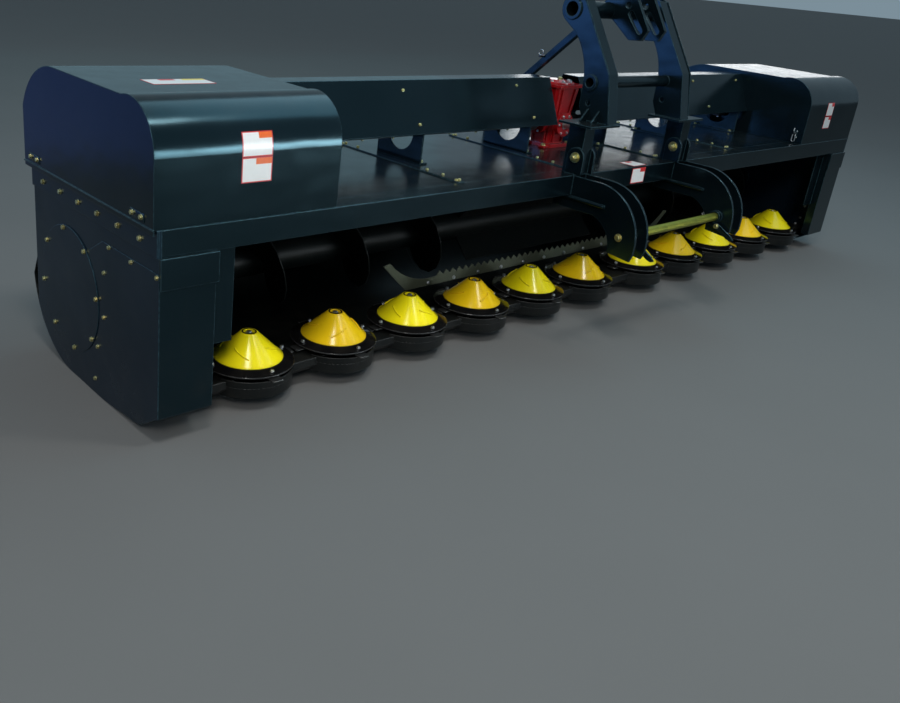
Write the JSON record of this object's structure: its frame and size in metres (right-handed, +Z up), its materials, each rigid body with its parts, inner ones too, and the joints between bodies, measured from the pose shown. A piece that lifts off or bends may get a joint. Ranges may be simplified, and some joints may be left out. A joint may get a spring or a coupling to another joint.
{
  "type": "cotton stalk harvester",
  "caption": "Wide tractor-mounted cutting head with a row of coned rotary discs, an auger in an open-fronted chamber, hooded ends and a three-point hitch.",
  "frame": {"origin": "on the floor, at the middle of the overall length and depth", "axes": "+X along the machine to its left-hand side seen from the tractor looking back, +Y rearwards, +Z up"},
  "size_m": [5.81, 1.528, 1.725],
  "materials": {
    "body_paint": "dark slate gloss paint",
    "plate_paint": "dark blue-grey gloss paint",
    "chamber_paint": "dark gloss paint",
    "black_paint": "black gloss paint",
    "yellow_paint": "lemon yellow gloss paint",
    "orange_paint": "deep yellow gloss paint",
    "red_paint": "red gloss paint",
    "cast_paint": "painted casting",
    "bare_steel": "bare plate",
    "bright_steel": "turned shaft",
    "yellow_zinc": "yellow zinc plating"
  },
  "bodies": {
    "frame": {"front_beam": "body_paint", "rear_beam": "body_paint", "deck_panels": "body_paint", "end_plates": "plate_paint", "side_rails": "plate_paint", "bearing_covers": "plate_paint", "end_posts": "body_paint", "chamber_casing": "chamber_paint", "outlet_section": "chamber_paint", "hoods": "body_paint", "end_drives": "cast_paint", "shaft_guards": "body_paint", "guard_supports": "body_paint", "gearbox": "red_paint", "cutter_bar": "black_paint", "serrated_sill": "bare_steel", "sill_carrier": "body_paint", "hitch_plates": "body_paint", "link_pins": "yellow_zinc", "lower_hitch_bar": "yellow_zinc", "mast_posts": "body_paint", "mast_plates": "body_paint", "mast_tubes": "body_paint", "top_link_clevis": "body_paint", "mast_brace": "body_paint", "brace_bracket": "body_paint"},
    "rotor": {"rotor_tube": "chamber_paint", "rotor_flights": "chamber_paint", "rotor_paddles": "chamber_paint"},
    "cross_shaft": {"cross_shaft": "bright_steel"},
    "input_shaft": {"input_shaft": "bright_steel"},
    "cutter_1": {"disc_1": "black_paint", "cone_1": "yellow_paint"},
    "cutter_2": {"disc_2": "black_paint", "cone_2": "orange_paint"},
    "cutter_3": {"disc_3": "black_paint", "cone_3": "yellow_paint"},
    "cutter_4": {"disc_4": "black_paint", "cone_4": "orange_paint"},
    "cutter_5": {"disc_5": "black_paint", "cone_5": "yellow_paint"},
    "cutter_6": {"disc_6": "black_paint", "cone_6": "orange_paint"},
    "cutter_7": {"disc_7": "black_paint", "cone_7": "yellow_paint"},
    "cutter_8": {"disc_8": "black_paint", "cone_8": "orange_paint"},
    "cutter_9": {"disc_9": "black_paint", "cone_9": "yellow_paint"},
    "cutter_10": {"disc_10": "black_paint", "cone_10": "orange_paint"},
    "cutter_11": {"disc_11": "black_paint", "cone_11": "yellow_paint"}
  },
  "joints": [
    {"name": "rotor_spin", "type": "hinge", "parent": "frame", "child": "rotor", "pos_m": [0, 0.383, 0.387], "axis": [1, 0, 0], "continuous": true},
    {"name": "cross_shaft_spin", "type": "hinge", "parent": "frame", "child": "cross_shaft", "pos_m": [0, 0.256, 0.98], "axis": [1, 0, 0], "continuous": true},
    {"name": "input_shaft_spin", "type": "hinge", "parent": "frame", "child": "input_shaft", "pos_m": [0, 0.071, 0.98], "axis": [0, -1, 0], "continuous": true},
    {"name": "cutter_1_spin", "type": "hinge", "parent": "frame", "child": "cutter_1", "pos_m": [-2.335, -0.134, 0.144], "axis": [0, 0, 1], "continuous": true},
    {"name": "cutter_2_spin", "type": "hinge", "parent": "frame", "child": "cutter_2", "pos_m": [-1.867, -0.134, 0.144], "axis": [0, 0, 1], "continuous": true},
    {"name": "cutter_3_spin", "type": "hinge", "parent": "frame", "child": "cutter_3", "pos_m": [-1.399, -0.134, 0.144], "axis": [0, 0, 1], "continuous": true},
    {"name": "cutter_4_spin", "type": "hinge", "parent": "frame", "child": "cutter_4", "pos_m": [-0.931, -0.134, 0.144], "axis": [0, 0, 1], "continuous": true},
    {"name": "cutter_5_spin", "type": "hinge", "parent": "frame", "child": "cutter_5", "pos_m": [-0.463, -0.134, 0.144], "axis": [0, 0, 1], "continuous": true},
    {"name": "cutter_6_spin", "type": "hinge", "parent": "frame", "child": "cutter_6", "pos_m": [0.005, -0.134, 0.144], "axis": [0, 0, 1], "continuous": true},
    {"name": "cutter_7_spin", "type": "hinge", "parent": "frame", "child": "cutter_7", "pos_m": [0.57, -0.134, 0.144], "axis": [0, 0, 1], "continuous": true},
    {"name": "cutter_8_spin", "type": "hinge", "parent": "frame", "child": "cutter_8", "pos_m": [1.038, -0.134, 0.144], "axis": [0, 0, 1], "continuous": true},
    {"name": "cutter_9_spin", "type": "hinge", "parent": "frame", "child": "cutter_9", "pos_m": [1.506, -0.134, 0.144], "axis": [0, 0, 1], "continuous": true},
    {"name": "cutter_10_spin", "type": "hinge", "parent": "frame", "child": "cutter_10", "pos_m": [1.974, -0.134, 0.144], "axis": [0, 0, 1], "continuous": true},
    {"name": "cutter_11_spin", "type": "hinge", "parent": "frame", "child": "cutter_11", "pos_m": [2.442, -0.134, 0.144], "axis": [0, 0, 1], "continuous": true}
  ],
  "couplings": [
    {"joint": "input_shaft_spin", "follows": "cross_shaft_spin", "ratio": 1},
    {"joint": "cutter_2_spin", "follows": "cutter_1_spin", "ratio": -1},
    {"joint": "cutter_3_spin", "follows": "cutter_1_spin", "ratio": 1},
    {"joint": "cutter_4_spin", "follows": "cutter_1_spin", "ratio": -1},
    {"joint": "cutter_5_spin", "follows": "cutter_1_spin", "ratio": 1},
    {"joint": "cutter_6_spin", "follows": "cutter_1_spin", "ratio": -1},
    {"joint": "cutter_7_spin", "follows": "cutter_1_spin", "ratio": 1},
    {"joint": "cutter_8_spin", "follows": "cutter_1_spin", "ratio": -1},
    {"joint": "cutter_9_spin", "follows": "cutter_1_spin", "ratio": 1},
    {"joint": "cutter_10_spin", "follows": "cutter_1_spin", "ratio": -1},
    {"joint": "cutter_11_spin", "follows": "cutter_1_spin", "ratio": 1}
  ]
}
